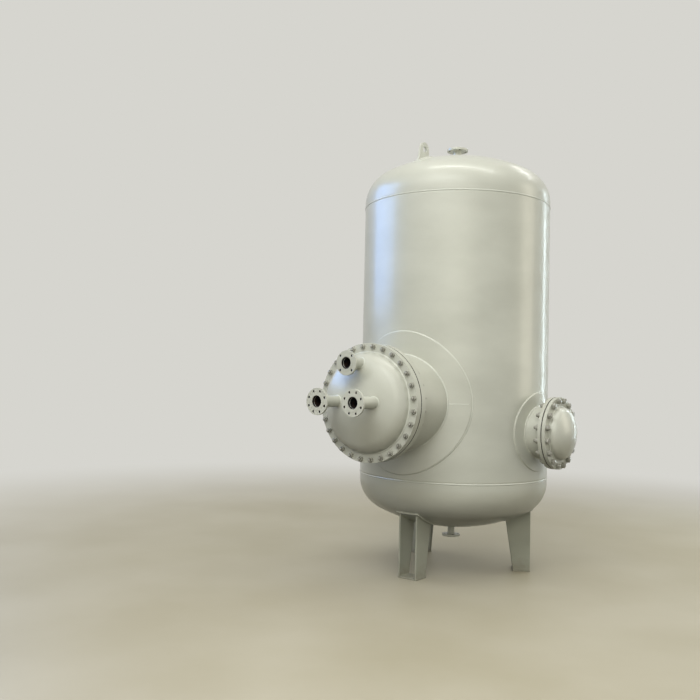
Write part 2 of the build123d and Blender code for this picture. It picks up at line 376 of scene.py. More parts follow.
def plate_outline(node, place, corner, spacing=weld_step):
    """The rounded outline of a CAD plate that lies evenly to both sides of a frame's middle, its outward
    directions, and the plate's own middle."""
    local = to_place(corners(node), place)
    low, high = local.min(axis=0), local.max(axis=0)
    centre = np.array([0.0, (low[1] + high[1]) / 2])
    plan, outward = rounded_rectangle(high[0] - low[0], high[1] - low[1], corner, spacing)
    return plan + centre, outward, centre


# Pieces and their finish

def in_scene(name, data):
    """An object in the scene, from its mesh, lamp or camera."""
    thing = bpy.data.objects.new(name, data)
    bpy.context.scene.collection.objects.link(thing)
    return thing


def make_piece(name, solid, place, material, slot, replaced=(), bevel=0.0, smooth=True, bare=None):
    """A mesh object at the origin from a solid in a frame's own coordinates. Where bare is true of a face's
    centre, given as the frame's across, up and out, the face takes the near-black steel: unpainted mill scale
    inside a pipe, and painted shade in bolt holes and between flanges."""
    points, faces, _ = shared_points(*placed(solid, place))
    # Where points have merged, a face has three corners, or none of its own
    pinched = (np.diff(np.sort(faces, axis=1)) == 0).any(axis=1)
    three = [list(dict.fromkeys(face)) for face in faces[pinched].tolist()]
    mesh = bpy.data.meshes.new(name)
    mesh.from_pydata(points.tolist(), [], faces[~pinched].tolist() + [f for f in three if len(f) == 3])
    work = bmesh.new()
    work.from_mesh(mesh)
    bmesh.ops.delete(work, geom=[v for v in work.verts if not v.link_faces], context="VERTS")
    bmesh.ops.recalc_face_normals(work, faces=work.faces)
    work.to_mesh(mesh)
    work.free()
    mesh.materials.append(material)
    if bare:
        mesh.materials.append(dark_steel_and_shade)
        centres = np.empty(len(mesh.polygons) * 3, np.float32)
        mesh.polygons.foreach_get("center", centres)
        chosen = bare(*to_place(centres.reshape(-1, 3), place).T)
        mesh.polygons.foreach_set("material_index", chosen.astype(np.int32))
    mesh.polygons.foreach_set("use_smooth", np.full(len(mesh.polygons), smooth))
    mesh.update()
    finish_piece(name, mesh, replaced, bevel)


def finish_piece(name, mesh, replaced, bevel):
    """The piece itself, with broken edges, normals that keep flat faces flat, and its place in the
    assembly."""
    piece = in_scene(name, mesh)
    if bevel:
        edges = piece.modifiers.new("Broken edges", "BEVEL")
        edges.width = bevel
        edges.segments = 2
        edges.limit_method = "ANGLE"
        edges.angle_limit = radians(40)
    normals = piece.modifiers.new("Flat faces", "WEIGHTED_NORMAL")
    normals.mode = "FACE_AREA"
    normals.weight = 100
    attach(piece, "root")
    if replaced:
        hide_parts(*replaced)


# Materials

def linear(hex_colour):
    """sRGB hex to linear RGBA."""
    srgb = np.array([int(hex_colour[i:i + 2], 16) for i in (1, 3, 5)]) / 255
    rgb = np.where(srgb <= 0.04045, srgb / 12.92, ((srgb + 0.055) / 1.055) ** 2.4)
    return (*rgb.tolist(), 1.0)


def set_inputs(tree, node, inputs):
    """Links an input that is given a socket, and sets one that is given a value. By number, a map range
    takes its value, from low, from high, to low and to high, and a colour mix its share at 0 and its two
    colours at 6 and 7."""
    for key, value in inputs.items():
        if isinstance(value, bpy.types.NodeSocket):
            tree.links.new(value, node.inputs[key])
        else:
            node.inputs[key].default_value = value


def add(tree, kind, inputs, output=0, **settings):
    """Adds a shader node with its settings and inputs, and returns one of its outputs."""
    node = tree.nodes.new("ShaderNode" + kind)
    for name, value in settings.items():
        setattr(node, name, value)
    set_inputs(tree, node, inputs)
    return node.outputs[output]


def new_material(name):
    """A new material, its node tree, its shader and the points of the piece that it is on."""
    material = bpy.data.materials.new(name)
    material.use_nodes = True
    tree = material.node_tree
    return material, tree, tree.nodes["Principled BSDF"], add(tree, "TexCoord", {}, "Object")


def enamel(name, pale, deep, dust_and_top_light, roughness, metallic, coat, wave=0.0016, grime=None):
    """Steel sprayed with silver enamel: metal flakes in a semi-gloss film, laid in soft passes, over plate
    that rolling and welding left slightly wavy. What faces up is paler: settled dust, and painted light from
    above. Grime gathers at the foot."""
    material, tree, shader, where = new_material(name)
    # Passes of the spray gun: clouds about half a metre wide, stretched along the gun's level sweep
    sweep = add(tree, "Mapping", {"Vector": where, "Scale": (1.0, 1.0, 1.9)})
    passes = add(tree, "TexNoise", {"Vector": sweep, "Scale": 1.6, "Detail": 3.0})
    passes = add(tree, "MapRange", {0: passes, 1: 0.32, 2: 0.68})
    # Dry overspray: fine speckle, really under a millimetre, drawn at 9 mm so that it shows
    speckle = add(tree, "TexNoise", {"Vector": where, "Scale": 110.0, "Detail": 2.0})
    speckled = add(tree, "MapRange", {0: speckle, 1: 0.35, 2: 0.75, 4: 0.12})
    # Dust, and painted light from above, on what faces up, in patches about 140 mm wide
    normal = add(tree, "NewGeometry", {}, "Normal")
    upward = add(tree, "SeparateXYZ", {0: normal}, "Z")
    upward = add(tree, "MapRange", {0: upward, 1: 0.55, 2: 1.0, 4: 0.55})
    lit_and_dusty_tops = add(tree, "TexNoise", {"Vector": where, "Scale": 7.0, "Detail": 5.0})
    lit_and_dusty_tops = add(tree, "Math", {0: lit_and_dusty_tops, 1: upward}, operation="MULTIPLY")
    layers = [(passes, pale), (speckled, dust_and_top_light), (lit_and_dusty_tops, dust_and_top_light)]
    if grime:
        # Splashed up to about 140 mm above the floor, with a ragged edge
        height = add(tree, "SeparateXYZ", {0: where}, "Z")
        ragged = add(tree, "TexNoise", {"Vector": where, "Scale": 24.0, "Detail": 4.0})
        edge = add(tree, "MapRange", {0: ragged, 3: -0.05, 4: 0.09})
        level = add(tree, "Math", {0: height, 1: edge}, operation="ADD")
        layers.append((add(tree, "MapRange", {0: level, 2: 0.14, 3: 0.6, 4: 0.0}), grime))
    colour = linear(deep)
    for share, over in layers:
        colour = add(tree, "Mix", {0: share, 6: colour, 7: linear(over)}, 2, data_type="RGBA")
    # The film's gloss varies with its thickness, over patches about 60 mm wide
    patches = add(tree, "TexNoise", {"Vector": where, "Scale": 16.0, "Detail": 4.0})
    gloss = {0: patches, 1: 0.3, 2: 0.7, 3: roughness - 0.04, 4: roughness + 0.06}
    dusty = {0: lit_and_dusty_tops, 1: 0.25, 2: add(tree, "MapRange", gloss)}
    dusty = add(tree, "Math", dusty, operation="MULTIPLY_ADD")
    # Waviness of the plate, about 0.3 m from crest to crest, under orange peel of 4 mm drawn at 8 mm
    plate_wave = add(tree, "TexNoise", {"Vector": where, "Scale": 3.1, "Detail": 1.0})
    bent = add(tree, "Bump", {"Distance": wave, "Height": plate_wave, "Strength": 1.0})
    peel = {"Distance": 0.00012, "Height": speckle, "Normal": bent, "Strength": 0.7}
    set_inputs(tree, shader, {
        "Base Color": colour, "Metallic": metallic, "Roughness": dusty, "IOR": 1.5,
        "Normal": add(tree, "Bump", peel), "Coat Weight": coat, "Coat Roughness": 0.16, "Coat Normal": bent,
    })
    return material


def mottled(name, first, second, metallic, scale, detail, spread, roughness, relief, strength):
    """A bare surface of two colours in patches, which its gloss and relief follow."""
    material, tree, shader, where = new_material(name)
    patches = add(tree, "TexNoise", {"Vector": where, "Scale": scale, "Detail": detail})
    share = add(tree, "MapRange", {0: patches, 1: spread[0], 2: spread[1]})
    colours = {0: share, 6: linear(first), 7: linear(second)}
    set_inputs(tree, shader, {
        "Base Color": add(tree, "Mix", colours, 2, data_type="RGBA"), "Metallic": metallic, "IOR": 1.5,
        "Roughness": add(tree, "MapRange", {0: patches, 3: roughness[0], 4: roughness[1]}),
        "Normal": add(tree, "Bump", {"Distance": relief, "Height": patches, "Strength": strength}),
    })
    return material


# Pale, deep and dust colour, the dust colour also painting light from above on upward faces; then roughness,
# share of metal flakes and clear top coat
vessel_enamel = enamel("silver_enamel", "#C4C5B8", "#B7B8AB", "#CCCCC0", 0.36, 0.18, 0.45)
# The welds' enamel is paler than the vessel's: a painted highlight along the beads.
highlit_weld_enamel = enamel("highlit_silver_enamel_on_weld", "#D0D2C6", "#C3C5B9", "#D6D6CC", 0.32, 0.15, 0.45, wave=0.0)
# The studs and nuts take a darker copy of the enamel: painted shade on and between the nuts.
shaded_bolt_enamel = enamel("shaded_silver_enamel_on_bolts", "#B0AFA4", "#8F8E84", "#C2C1B5", 0.30, 0.30, 0.45, wave=0.0)
# The legs' enamel is darker and greener than the vessel's: painted shade for legs that stand under the
# vessel.
shaded_leg_enamel = enamel(
    "thin_shaded_enamel_on_legs", "#ABAC9C", "#9A9C8C", "#B5B4A4", 0.46, 0.10, 0.10, wave=0.0008, grime="#7F7763"
)
# Compressed fibre sheet: matt near-black rubber and graphite with short pale fibres, drawn at 2 mm
fibre_sheet = mottled(
    "compressed_fibre", "#15161A", "#34353A", metallic=0.0, scale=420.0, detail=3.0,
    spread=(0.45, 0.75), roughness=(0.78, 0.95), relief=0.0002, strength=0.6,
)
# Steel that the paint doesn't reach: dark mill scale with patches of dry brown rust about 30 mm wide inside
# # a pipe. The same near-black between two flanges and in the bolt holes is painted shade.
dark_steel_and_shade = mottled(
    "mill_scale_and_painted_shade", "#1B1A1C", "#3A2A22", metallic=0.25, scale=30.0, detail=5.0,
    spread=(0.48, 0.66), roughness=(0.45, 0.85), relief=0.0004, strength=0.5,
)


def dress(node, solid, place, paint=vessel_enamel, slot="vessel_paint", **finish):
    """A CAD node drawn again in paint, from a solid in a frame's own coordinates."""
    make_piece(f"{node}_painted", solid, place, paint, slot, [node], **finish)


# Welds

def waver(count, share):
    """Smooth random swelling about 1: white noise averaged over three neighbours."""
    noise = random.normal(0, share, count)
    return 1 + (noise + np.roll(noise, 1) + np.roll(noise, -1)) / sqrt(3)


def bead(path, normal, width, height, closed=True):
    """A weld bead as an ellipse carried along a path: path + width/2 * cos(u) * side
    + height * sin(u) * normal, with side square to path and normal. Both sizes waver from section to
    section as hand-laid metal does, and an open bead draws in to a point at its two ends, by
    sqrt(1 - t^12)."""
    count = len(path)
    if closed:
        heading = np.roll(path, -1, axis=0) - np.roll(path, 1, axis=0)
    else:
        heading = np.gradient(path, axis=0)
    side = unit_rows(np.cross(heading, normal))
    wide, tall = waver(count, width_waver), waver(count, height_waver)
    if not closed:
        taper = np.sqrt(1 - np.linspace(-1, 1, count) ** 12)
        wide, tall = wide * taper, tall * taper
    u = full_turn(bead_sides)[None, :, None]
    across = width / 2 * wide[:, None, None] * np.cos(u) * side[:, None]
    proud = height * tall[:, None, None] * np.sin(u) * normal[:, None]
    return grid_solid(path[:, None] + across + proud, wrap_rows=closed)


def corner_bead(outline, surface, leg, facing=1, closed=True):
    """A bead in the corner between a surface and a wall that stands on it along a plan outline. Its normal
    halves the angle between the surface's and the wall's."""
    plan, outward = outline
    path, normal = lie_on(plan, surface)
    halfway = unit_rows(facing * normal + as_rows(*outward.T, 0))
    return bead(path, halfway, corner_bead_width * leg, corner_bead_height * leg, closed)


def weld(name, place, *beads, paint=highlit_weld_enamel, slot="vessel_paint"):
    """One piece of painted weld metal from beads in a frame's own coordinates, by default in the paler weld
    enamel that paints a highlight.
    """
    make_piece(name, joined(*beads), place, paint, slot)


# Shell, heads and their seams

def pierced(plan, faces, centre, radius, allowed):
    """Takes away the faces of allowed points whose middle lies inside a circle of the plan, and draws the
    points round the gap onto the circle. Returns the moved plan, the faces that are left and the numbers of
    the moved points."""
    inside = np.linalg.norm(plan[faces].mean(axis=1) - centre, axis=1) < radius
    inside &= allowed[faces].all(axis=1)
    kept = faces[~inside]
    rim = np.intersect1d(faces[inside], kept)
    plan = plan.copy()
    plan[rim] = centre + radius * unit_rows(plan[rim] - centre)
    return plan, kept, rim


def make_shell():
    """A cylinder as a grid of height by turn: radius * cos(turn), radius * sin(turn), height. It is opened
    for the channel and the manhole, and the inside is the same grid at the inner radius."""
    height = np.linspace(lower_seam, upper_seam, shell_rows)
    unit = turned(as_rows(1, height), shell_steps).reshape(-1, 3)
    surfaces = []
    for radius in (shell_outer, shell_inner):
        points = unit * (radius, radius, 1)
        left = grid_faces(shell_rows, shell_steps)
        for place, neck in ((channel_place, "channel_neck"), (manhole_place, "manhole_neck")):
            local = to_place(unit * (shell_outer, shell_outer, 1), place)
            opening = radii(neck, place)[1]
            plan, left, rim = pierced(local[:, :2], left, np.zeros(2), opening, local[:, 2] > 0)
            points[rim] = to_world(as_rows(*plan[rim].T, rolled(radius)(*plan[rim].T)), place)
        surfaces.append(points)
    dress("shell", walled(*surfaces, left), ground)


def make_head(node, place, pipe_node):
    """A dished head turned about the vessel's axis, open at its middle for a pipe."""
    hole = radii(pipe_node, place)[1]
    layers, faces = dished_layers(shell_inner, head_wall, head_skirt, hole, shell_steps)
    dress(node, walled(*layers, faces), place)


def make_seams():
    """Two girth seams, and the shell's own upright seam at the back."""
    plan, outward = circle(shell_outer)
    for name, height in (("upper", upper_seam), ("lower", lower_seam)):
        girth = bead(as_rows(*plan.T, height), as_rows(*outward.T, 0), seam_bead_width, seam_bead_height)
        weld(f"{name}_girth_weld", ground, girth)
    way = np.array([[cos(upright_seam_bearing), sin(upright_seam_bearing), 0]])
    height = np.arange(lower_seam, upper_seam, weld_step)[:, None]
    path = way * shell_outer + height * (0, 0, 1)
    weld("upright_seam_weld", ground, bead(path, way, seam_bead_width, seam_bead_height, closed=False))


# Necks, pads and flanges

def neck_solid(node, place, start, steps=neck_steps):
    """A tube whose first end lies on a surface: outside and inside as grids from the surface to the far
    end, start + (end - start) * share."""
    end = along(node, place)[1]
    share = np.linspace(0, 1, 9)[:, None]
    turn = full_turn(steps)
    grids = []
    for radius in radii(node, place)[::-1]:
        across, up = radius * np.cos(turn), radius * np.sin(turn)
        first = start(across, up)
        grids.append(as_rows(across, up, first + (end - first) * share))
    return walled(*grids, grid_faces(len(share), steps))


def pad_solid(bore, across, up, thickness, turn, whole):
    """A ring, or part of one, rolled on the shell: in plan (1 - s) * circle + s * oval, laid on the shell
    and on the same surface grown by the thickness."""
    s = np.linspace(0, 1, 13)[:, None]
    x = (((1 - s) * bore + s * across) * np.cos(turn)).ravel()
    y = (((1 - s) * bore + s * up) * np.sin(turn)).ravel()
    layers = [as_rows(x, y, rolled(shell_outer + t)(x, y)) for t in (thickness, 0)]
    return walled(*layers, grid_faces(len(s), len(turn), wrap_columns=whole))


def drilled_plate(bore, rim, low, high, pitch, count, hole):
    """A ring with a circle of holes and a thickness. Each hole's own sector runs in rings from the hole to
    the sector's outline, (1 - s) * hole + s * outline, with plan points as complex numbers."""
    half = pi / count
    arc_steps, side_steps = max(6, 64 // count), 4
    turn = np.linspace(-half, half, arc_steps, endpoint=False)
    away = np.linspace(bore, rim, side_steps, endpoint=False)
    distance = np.concatenate([away, np.full(arc_steps, rim), bore + rim - away, np.full(arc_steps, bore)])
    angle = np.concatenate([np.full(side_steps, -half), turn, np.full(side_steps, half), -turn])
    outline = distance * np.exp(1j * angle)
    round_hole = pitch + hole / 2 * np.exp(1j * np.angle(outline - pitch))
    s = np.array([0, 0.22, 0.55, 1])[:, None]
    sector = (1 - s) * round_hole + s * outline
    turns = np.exp(2j * half * (np.arange(count) + 0.5))[:, None, None]
    whole = sector * turns
    faces = grid_faces(*sector.shape) + np.arange(count)[:, None, None] * sector.size
    plan, faces, _ = shared_points(as_rows(whole.real, whole.imag), faces.reshape(-1, 4))
    return plate(plan, faces, high, low)


def nut_solid(bolting, low, direction, turn_by):
    """A hexagon nut from one height in one direction. Its side lies half its flats / cos of the turn from
    the nearest flat's middle away, and a 30 degree cone cuts its far corners."""
    turn = full_turn(nut_steps)
    side = bolting.nut_flats / 2 / np.cos((turn + pi / 6) % (pi / 3) - pi / 6)
    hub, face = np.full((2, nut_steps), [[bolting.stud / 2], [nut_face * bolting.nut_flats]])
    foot, top = np.full((2, nut_steps), [[0], [bolting.nut_height]])
    distance = np.stack([hub, side, side, face, hub])
    out = np.stack([foot, foot, top - (side - face) * nut_slope, top, top])
    turn = turn + turn_by
    return grid_solid(np.stack([distance * np.cos(turn), distance * np.sin(turn), low + direction * out], -1))


def thread(crest, spare):
    """Rows of radius and distance from a stud's tip: chamfered, then between crest and root every half
    pitch as far as the nut."""
    steps = np.arange(2 * int(spare / thread_pitch) + 2)
    radius = np.where(steps % 2, crest, crest - thread_depth * thread_pitch)
    radius[0] = crest - stud_chamfer * thread_pitch
    return as_rows(radius, steps * thread_pitch / 2)


def stud_solid(bolting, low, high):
    """A threaded stud between two heights, turned from its profile."""
    crest = bolting.stud / 2
    back, front = thread(crest, bolting.spare_back), thread(crest, bolting.spare_front)[::-1]
    profile = np.concatenate([[[0, low]], back + (0, low), front * (1, -1) + (0, high), [[0, high]]])
    return grid_solid(turned(profile, stud_steps), wrap_rows=False)


def make_bolts(name, place, bolting, back, front, pitch):
    """All studs of a flanged joint with a nut on each end, each turned and screwed on a little
    differently."""
    solids = []
    centres = pitch * np.exp(2j * pi * (np.arange(bolting.count) + 0.5) / bolting.count)
    for centre in centres:
        turns = random.uniform(0, pi / 3, 2)
        slip = random.uniform(-stud_slip, stud_slip)
        stud_back = back - bolting.nut_height - bolting.spare_back + slip
        stud_front = front + bolting.nut_height + bolting.spare_front + slip
        one = joined(
            stud_solid(bolting, stud_back, stud_front),
            nut_solid(bolting, back, -1, turns[0]),
            nut_solid(bolting, front, 1, turns[1]),
        )
        solids.append(placed(one, shifted(place, centre.real, centre.imag)))
    # In the darker bolt enamel, which paints shade on the nuts.
    make_piece(name, joined(*solids), ground, shaded_bolt_enamel, "vessel_paint", smooth=False)


def flange_solid(bore, rim, raised, back, face, count, hole):
    """A drilled plate with a low raised face, which may lie on either side of its back. Returns the solid
    and the radius of its bolt circle."""
    lift = raised_face_height if face > back else -raised_face_height
    pitch = raised + raised_face_margin + hole / 2
    ring = drilled_plate(bore, rim, *sorted((back, face - lift)), pitch, count, hole)
    return joined(ring, turned_ring(bore, raised, *sorted((face - 2 * lift, face)), raised_face_break)), pitch


def in_holes(across, up, pitch, count, hole):
    """True inside the holes of a bolt circle: each point is turned back into the first hole's sector."""
    half = pi / count
    folded = np.arctan2(up, across) % (2 * half) - half
    return np.abs(np.hypot(across, up) * np.exp(1j * folded) - pitch) < hole / 2


def make_flange_pair(name, place, front, bolting):
    """Rear and front body flange with their holes, the gasket between them, the studs, and the beads that
    join each flange to its neck or cover. The faces that look into the joint are near-black steel, painted
    shade in the gap."""
    rear, gasket = f"{name}_flange", f"{name}_gasket"
    bore, rim = radii(rear, place)
    rear_back, rear_face = along(rear, place)
    front_face, front_back = along(front, place)
    gasket_inner, gasket_outer = radii(gasket, place)
    for node, back, face in ((rear, rear_back, rear_face), (front, front_back, front_face)):
        solid, pitch = flange_solid(bore, rim, gasket_outer, back, face, bolting.count, bolting.hole)
        dress(
            node, solid, place, bevel=edge_break / 2,
            bare=lambda x, y, out: np.abs(out - face) < 1.2 * raised_face_height,
        )
    sheet = turned_ring(gasket_inner, gasket_outer, *along(gasket, place), gasket_break)
    make_piece(f"{gasket}_sheet", sheet, place, fibre_sheet, "gasket", [gasket])
    make_bolts(f"{name}_studs_and_nuts", place, bolting, rear_back, front_back, pitch)
    for part, back, facing in (("neck", rear_back, -1), ("cover", front_back, 1)):
        ring_bead = corner_bead(circle(bore), flat(back), flange_leg, facing)
        weld(f"{name}_{part}_to_flange_weld", place, ring_bead)


def make_necks():
    """Both necks, their rolled pads and the beads round them; the channel's pad is in two halves."""
    for node, place, halves in (
        ("channel", channel_place, ("_upper", "_lower")), ("manhole", manhole_place, ("",)),
    ):
        neck, thickness, whole = f"{node}_neck", pad_thickness[node], len(halves) == 1
        outer = radii(neck, place)[1]
        dress(neck, neck_solid(neck, place, rolled(shell_inner)), place)
        spread = np.concatenate([to_place(corners(f"{node}_pad{half}"), place) for half in halves])
        across, up, _ = np.abs(spread).max(axis=0)
        for index, half in enumerate(halves):
            turn = np.linspace(index * pi, (index + 1) * pi, neck_steps // 2 + 1)
            pad = pad_solid(outer, across, up, thickness, full_turn(neck_steps) if whole else turn, whole)
            dress(f"{node}_pad{half}", pad, place, bevel=edge_break)
        beads = [
            corner_bead(oval(across, up), rolled(shell_outer), pad_leg[node]),
            corner_bead(circle(outer), rolled(shell_outer + thickness), neck_leg),
        ]
        for side in () if whole else (-1, 1):
            joint = as_rows(side * np.arange(outer, across, weld_step), 0)
            path, normal = lie_on(joint, rolled(shell_outer + thickness))
            beads.append(bead(path, normal, butt_bead_width, butt_bead_height, closed=False))
        # The channel pad's beads take the paler weld enamel, a painted highlight; the manhole pad's take the
        # plain enamel.
        weld(f"{node}_pad_weld", place, *beads, paint=vessel_enamel if whole else highlit_weld_enamel)


# Covers and nozzles

coil_nozzles = ("left", "right", "upper")
coil_bolt_holes = (8, 8, 4)


def nozzle_place(name):
    """The frame of a coil nozzle: the channel's, moved to the middle of the nozzle's flange."""
    flange = f"{name}_coil_flange"
    return shifted(channel_place, middle(flange, X), middle(flange, Z) - channel_place.origin[Z])


def seen_from(place, surface, rise):
    """A surface over the channel's plan as one over the plan of a nozzle's frame, raised."""
    across, up, _ = to_place(place.origin[None], channel_place)[0]
    return lambda x, y: surface(x + across, y + up) + rise


def make_cover(node, place, nozzles=()):
    """A dished cover with its skirt inside the flange, on a plan of distance by turn. Where a pipe passes,
    the plan is opened to the pipe's size and laid back on the dished surface. Returns the height of its
    skirt's end and its inner and outer surface above that."""
    across, up, out = to_place(corners(node), place).T
    foot = out.min()
    distance = np.hypot(across, up)
    inner = distance[out < foot + hair].min()
    wall = distance.max() - inner
    layers, faces = dished_layers(inner, wall, cover_skirt, 0, cover_steps)
    _, faces, first = shared_points(layers[0], faces)
    layers = [layer[first] for layer in layers]
    for name in nozzles:
        centre = to_place(nozzle_place(name).origin[None], place)[0, :2]
        hole = radii(f"{name}_coil_pipe", nozzle_place(name))[1]
        ahead = layers[0][:, 2] > cover_skirt
        plan, faces, rim = pierced(layers[0][:, :2], faces, centre, hole, ahead)
        for layer, grow in zip(layers, (wall, 0)):
            layer[rim] = lie_on(plan[rim], dished(inner, cover_skirt, grow))[0]
    dress(node, walled(*layers, faces), shifted(place, 0, 0, foot))
    return foot, dished(inner, cover_skirt), dished(inner, cover_skirt, wall)


def make_nozzle(name, place, part, count, inside, outside):
    """A pipe from a head's inner surface to its raised-face flange, the flange with its bolt holes, and
    the beads at both of the pipe's joints. The pipe's inside is dark mill scale, and the holes' walls are
    drawn in the same near-black as painted shade."""
    pipe, flange = f"{name}_{part}_pipe", f"{name}_{part}_flange"
    inner, outer = radii(pipe, place)
    rim = radii(flange, place)[1]
    back, face = along(flange, place)
    dress(
        pipe, neck_solid(pipe, place, inside, pipe_steps), place, bevel=edge_break / 2,
        bare=lambda x, y, out: np.hypot(x, y) < (inner + outer) / 2,
    )
    across, up, out = to_place(corners(flange), place).T
    raised = np.hypot(across, up)[out > face - hair].max()
    solid, pitch = flange_solid(outer, rim, raised, back, face, count, nozzle_bolt_hole)
    dress(
        flange, solid, place, bevel=edge_break / 2,
        bare=lambda x, y, out: in_holes(x, y, pitch, count, nozzle_bolt_hole),
    )
    ring = circle(outer, fine_weld_step)
    foot, collar = corner_bead(ring, outside, pipe_leg), corner_bead(ring, flat(back), pipe_leg, facing=-1)
    weld(f"{name}_nozzle_weld", place, foot, collar)


# Lugs and legs

def dressed_copy(node):
    """A flat CAD plate again, merged from its loose triangles, with broken edges."""
    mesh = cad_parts[node].data.copy()
    mesh.name = f"{node}_painted"
    work = bmesh.new()
    work.from_mesh(mesh)
    bmesh.ops.remove_doubles(work, verts=work.verts, dist=1e-5)
    bmesh.ops.dissolve_limit(work, angle_limit=radians(0.5), verts=work.verts, edges=work.edges)
    bmesh.ops.recalc_face_normals(work, faces=work.faces)
    work.to_mesh(mesh)
    work.free()
    mesh.materials.clear()
    mesh.materials.append(vessel_enamel)
    mesh.polygons.foreach_set("use_smooth", np.full(len(mesh.polygons), True))
    finish_piece(f"{node}_painted", mesh, [node], edge_break)


def head_pad_solid(outline, centre, thickness):
    """A plate bent over a head: rings from its middle to its outline, laid on the head and on the head
    grown by the thickness."""
    plan, faces = rings(centre, outline, np.linspace(0, 1, 9))
    return walled(*[lie_on(plan, head_outside(grow))[0] for grow in (thickness, 0)], faces)


def make_lugs():
    """The two lug plates with their pads and beads."""
    for side in ("front", "rear"):
        lug, pad = f"lifting_lug_{side}", f"lifting_lug_pad_{side}"
        dressed_copy(lug)
        beads = []
        for node, surface in ((pad, head_outside()), (lug, head_outside(lug_pad_thickness))):
            plan, outward, centre = plate_outline(node, upper_place, lug_corner)
            beads.append(corner_bead((plan, outward), surface, foot_leg))
            if node == pad:
                dress(pad, head_pad_solid(plan, centre, lug_pad_thickness), upper_place, bevel=edge_break)
        weld(f"{lug}_weld", upper_place, *beads)


def leg_place(number):
    """A leg's frame at the lower seam: across the leg, outwards from the vessel's axis, and down."""
    turn = radians(120 * (number - 1))
    return place_at((0, 0, lower_seam), (cos(turn), sin(turn), 0), (sin(turn), -cos(turn), 0), (0, 0, -1))


def make_rib(node, place):
    """An upright plate between two faces across the leg. On each face a point runs from the foot to the pad
    as foot + (top - foot) * t, with foot and top from the outer to the inner edge. Returns the beads along
    the foot and the top of both faces."""
    pad_surface = head_outside(leg_pad_thickness)
    across, out, down = to_place(corners(node), place).T
    foot_down, outer, top_inner = down.max(), out.max(), out.min()
    foot_inner = out[down > foot_down - hair].min()
    share = np.linspace(0, 1, 15)
    t = np.linspace(0, 1, 13)[:, None]
    top_out, foot_out = outer + (top_inner - outer) * share, outer + (foot_inner - outer) * share
    reach_foot = np.linspace(outer, foot_inner, int((outer - foot_inner) / weld_step))
    reach_top = np.arange(top_inner, outer, weld_step)
    sides, beads = [], []
    for face, way in ((across.min(), -1), (across.max(), 1)):
        top_down = pad_surface(np.full_like(top_out, face), top_out)
        sides.append(as_rows(
            face, foot_out + (top_out - foot_out) * t, foot_down + (top_down - foot_down) * t,
        ))
        for reach, surface, facing in ((reach_foot, flat(foot_down), -1), (reach_top, pad_surface, 1)):
            edge = as_rows(face, reach), as_rows(way, 0 * reach)
            beads.append(corner_bead(edge, surface, foot_leg, facing, closed=False))
    solid = walled(*sides, grid_faces(len(t), len(share), wrap_columns=False))
    dress(node, solid, place, shaded_leg_enamel, "leg_paint", bevel=edge_break)
    return beads


def make_base(node, place):
    """A flat plate in rings from its anchor hole to its rounded outline."""
    plan, _, centre = plate_outline(node, place, base_corner, spacing=0.012)
    hole = centre + anchor_hole / 2 * unit_rows(plan - centre)
    plan, faces = rings(hole, plan, (0, 0.2, 0.55, 1))
    solid = plate(plan, faces, *along(node, place))
    dress(node, solid, place, shaded_leg_enamel, "leg_paint", bevel=edge_break)


def make_leg(number):
    """Two ribs, a base plate with its anchor hole, a pad on the head, and the beads between them."""
    place = leg_place(number)
    name = f"leg_{number}"
    beads = make_rib(f"{name}_rib_left", place) + make_rib(f"{name}_rib_right", place)
    make_base(f"{name}_base_plate", place)
    pad = f"{name}_head_pad"
    plan, outward, centre = plate_outline(pad, place, leg_pad_corner)
    solid = head_pad_solid(plan, centre, leg_pad_thickness)
    dress(pad, solid, place, slot="leg_paint", bevel=edge_break)
    beads.append(corner_bead((plan, outward), head_outside(), foot_leg))
    weld(f"{name}_weld", place, *beads, paint=shaded_leg_enamel, slot="leg_paint")


# The whole vessel

make_shell()
make_head("top_head", upper_place, "crown_nozzle_pipe")
make_head("bottom_head", lower_place, "drain_nozzle_pipe")
make_seams()
make_necks()
make_flange_pair("channel", channel_place, "cover_flange", channel_bolting)
make_flange_pair("manhole", manhole_place, "manhole_cover_flange", manhole_bolting)
foot, cover_inside, cover_outside = make_cover("channel_cover", channel_place, coil_nozzles)
make_cover("manhole_cover", manhole_place)
for name, holes in zip(coil_nozzles, coil_bolt_holes):
    where = nozzle_place(name)
    inside, outside = (seen_from(where, surface, foot) for surface in (cover_inside, cover_outside))
    make_nozzle(name, where, "coil", holes, inside, outside)
for name, where in (("crown", upper_place), ("drain", lower_place)):
    make_nozzle(name, where, "nozzle", 4, dished(shell_inner, head_skirt), head_outside())
make_lugs()
for number in (1, 2, 3):
    make_leg(number)


# Camera, at the photograph's viewing angle: distance from the vessel's axis, bearing from -Y towards +X,
# height, and the turn, tilt and roll of its own axis

camera_distance, camera_bearing, camera_height = 7.0217, radians(31.0268), 1.5994
camera_turn, camera_tilt, camera_roll = radians(7.5409), radians(2.1899), radians(1.2858)
lens_mm = 40.476


def set_camera():
    """Places the camera: rolled about its line of sight, tilted up from level, then turned."""
    data = bpy.data.cameras.new("camera")
    data.sensor_width, data.lens = 36, lens_mm
    camera = in_scene("camera", data)
    stand = camera_distance * sin(camera_bearing), -camera_distance * cos(camera_bearing), camera_height
    heading = Matrix.Rotation(camera_bearing + camera_turn, 4, "Z")
    tilt = Matrix.Rotation(pi / 2 + camera_tilt, 4, "X")
    camera.matrix_world = Matrix.Translation(stand) @ heading @ tilt @ Matrix.Rotation(camera_roll, 4, "Z")
    bpy.context.scene.camera = camera


# Studio

backdrop = "#D6D5CF"
floor_pale, floor_deep = "#ABA592", "#A19A84"
floor_bounce = "#25231F"        # what the floor throws back on the vessel's undersides


